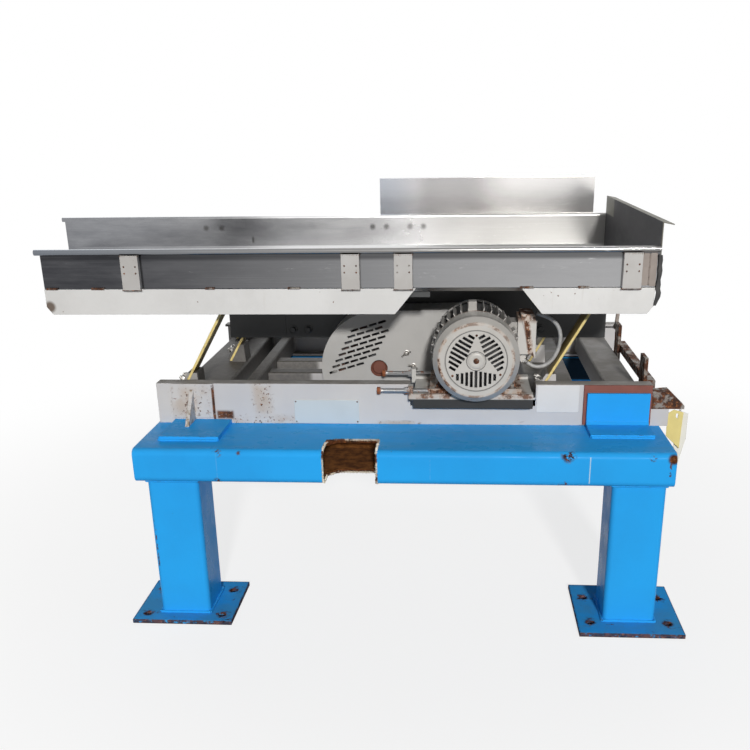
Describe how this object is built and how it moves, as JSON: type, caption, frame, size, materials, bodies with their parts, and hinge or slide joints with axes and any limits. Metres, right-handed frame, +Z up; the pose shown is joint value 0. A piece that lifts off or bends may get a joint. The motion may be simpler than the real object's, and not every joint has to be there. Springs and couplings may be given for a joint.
{
  "type": "vibrating conveyor",
  "caption": "Open-ended vibrating trough on leaning fibreglass slats, shaken by a belt-driven eccentric on a channel base and a square-tube stand.",
  "frame": {"origin": "on the floor, in the middle of the four legs", "axes": "+X along the trough towards its closed infeed end, +Y to the rear, +Z up"},
  "size_m": [2.255, 1.522, 1.226],
  "materials": {
    "stand_paint": "gloss enamel, chipped and rusted at edges",
    "primer": "matt red oxide primer",
    "base_paint": "chalky grey paint with rust stains",
    "rusted_steel": "rusted",
    "fibreglass": "resin-bound fibreglass, cut edges pale yellow",
    "trough_steel": "worn stainless sheet",
    "trough_trim": "dull stainless sheet",
    "spine_paint": "dark grey paint",
    "machined_steel": "turned",
    "castings": "as cast",
    "rubber": "matt",
    "guard_paint": "grey paint, scuffed",
    "motor_paint": "old off-white paint, rust at edges",
    "cowl_paint": "old off-white paint, rust at edges",
    "fan_plastic": "matt",
    "conduit_grey": "smooth grey sheath"
  },
  "bodies": {
    "base": {"foot_plate_front_left": "stand_paint", "foot_plate_front_right": "stand_paint", "foot_plate_rear_left": "stand_paint", "foot_plate_rear_right": "stand_paint", "leg_front_left": "stand_paint", "leg_front_right": "stand_paint", "leg_rear_left": "stand_paint", "leg_rear_right": "stand_paint", "beam_front": "stand_paint", "beam_rear": "stand_paint", "mount_pad": "stand_paint", "mount_clip_front": "stand_paint", "mount_clips_rear": "stand_paint", "mount_doubler_right": "primer", "mount_doubler_left": "base_paint", "rail_front": "base_paint", "rail_rear": "base_paint", "cross_slat_left": "base_paint", "cross_slat_right": "base_paint", "cross_end": "base_paint", "drive_bearers": "base_paint", "bearing_rails": "base_paint", "slat_brackets_lower": "base_paint", "slat_clamps_lower": "base_paint", "motor_platform": "base_paint", "end_bracket": "base_paint", "rail_stub": "rusted_steel", "tension_screws": "rusted_steel", "slat_front_left": "fibreglass", "slat_middle_left": "fibreglass", "slat_rear_left": "fibreglass", "slat_front_right": "fibreglass", "slat_middle_right": "fibreglass", "slat_rear_right": "fibreglass", "bearing_blocks": "castings", "v_belts": "rubber", "guard_case": "guard_paint", "guard_cover": "guard_paint", "motor_frame": "motor_paint", "terminal_box": "motor_paint", "fan_cowl": "cowl_paint", "conduit": "conduit_grey"},
    "trough": {"trough_pan": "trough_steel", "trough_end_plate": "trough_steel", "trough_rear_panel": "trough_steel", "trough_bars": "trough_steel", "slat_brackets_upper": "trough_steel", "slat_clamps_upper": "trough_steel", "trough_stiffeners": "trough_trim", "trough_skirt_left": "trough_trim", "trough_skirt_right": "trough_trim", "trough_spine": "spine_paint", "drive_pin": "spine_paint"},
    "eccentric": {"eccentric_shaft": "machined_steel", "sheave_large": "castings"},
    "rod": {"connecting_rod": "castings", "rod_bush": "rubber"},
    "rotor": {"motor_shaft": "machined_steel", "motor_fan": "fan_plastic", "sheave_small": "castings"}
  },
  "joints": [
    {"name": "trough_stroke", "type": "slide", "parent": "base", "child": "trough", "axis": [-0.866, 0, 0.5], "range_m": [-0.008, 0.008], "stiffness_N_per_m": 200000, "springref_m": 0.00459, "deforming": ["slat_front_left", "slat_middle_left", "slat_rear_left", "slat_front_right", "slat_middle_right", "slat_rear_right", "rod_bush"]},
    {"name": "eccentric_spin", "type": "hinge", "parent": "base", "child": "eccentric", "pos_m": [-0.101, 0, 0.665], "axis": [0, 1, 0], "continuous": true, "deforming": ["rod_bush"]},
    {"name": "rod_pivot", "type": "hinge", "parent": "eccentric", "child": "rod", "pos_m": [-0.097, 0, 0.67193], "axis": [0, 1, 0], "continuous": true, "deforming": ["rod_bush"]},
    {"name": "motor_spin", "type": "hinge", "parent": "base", "child": "rotor", "pos_m": [0.21, 0, 0.7752], "axis": [0, 1, 0], "continuous": true}
  ],
  "couplings": [
    {"joint": "rod_pivot", "follows": "eccentric_spin", "ratio": -1},
    {"joint": "motor_spin", "follows": "eccentric_spin", "ratio": 3.1698}
  ]
}
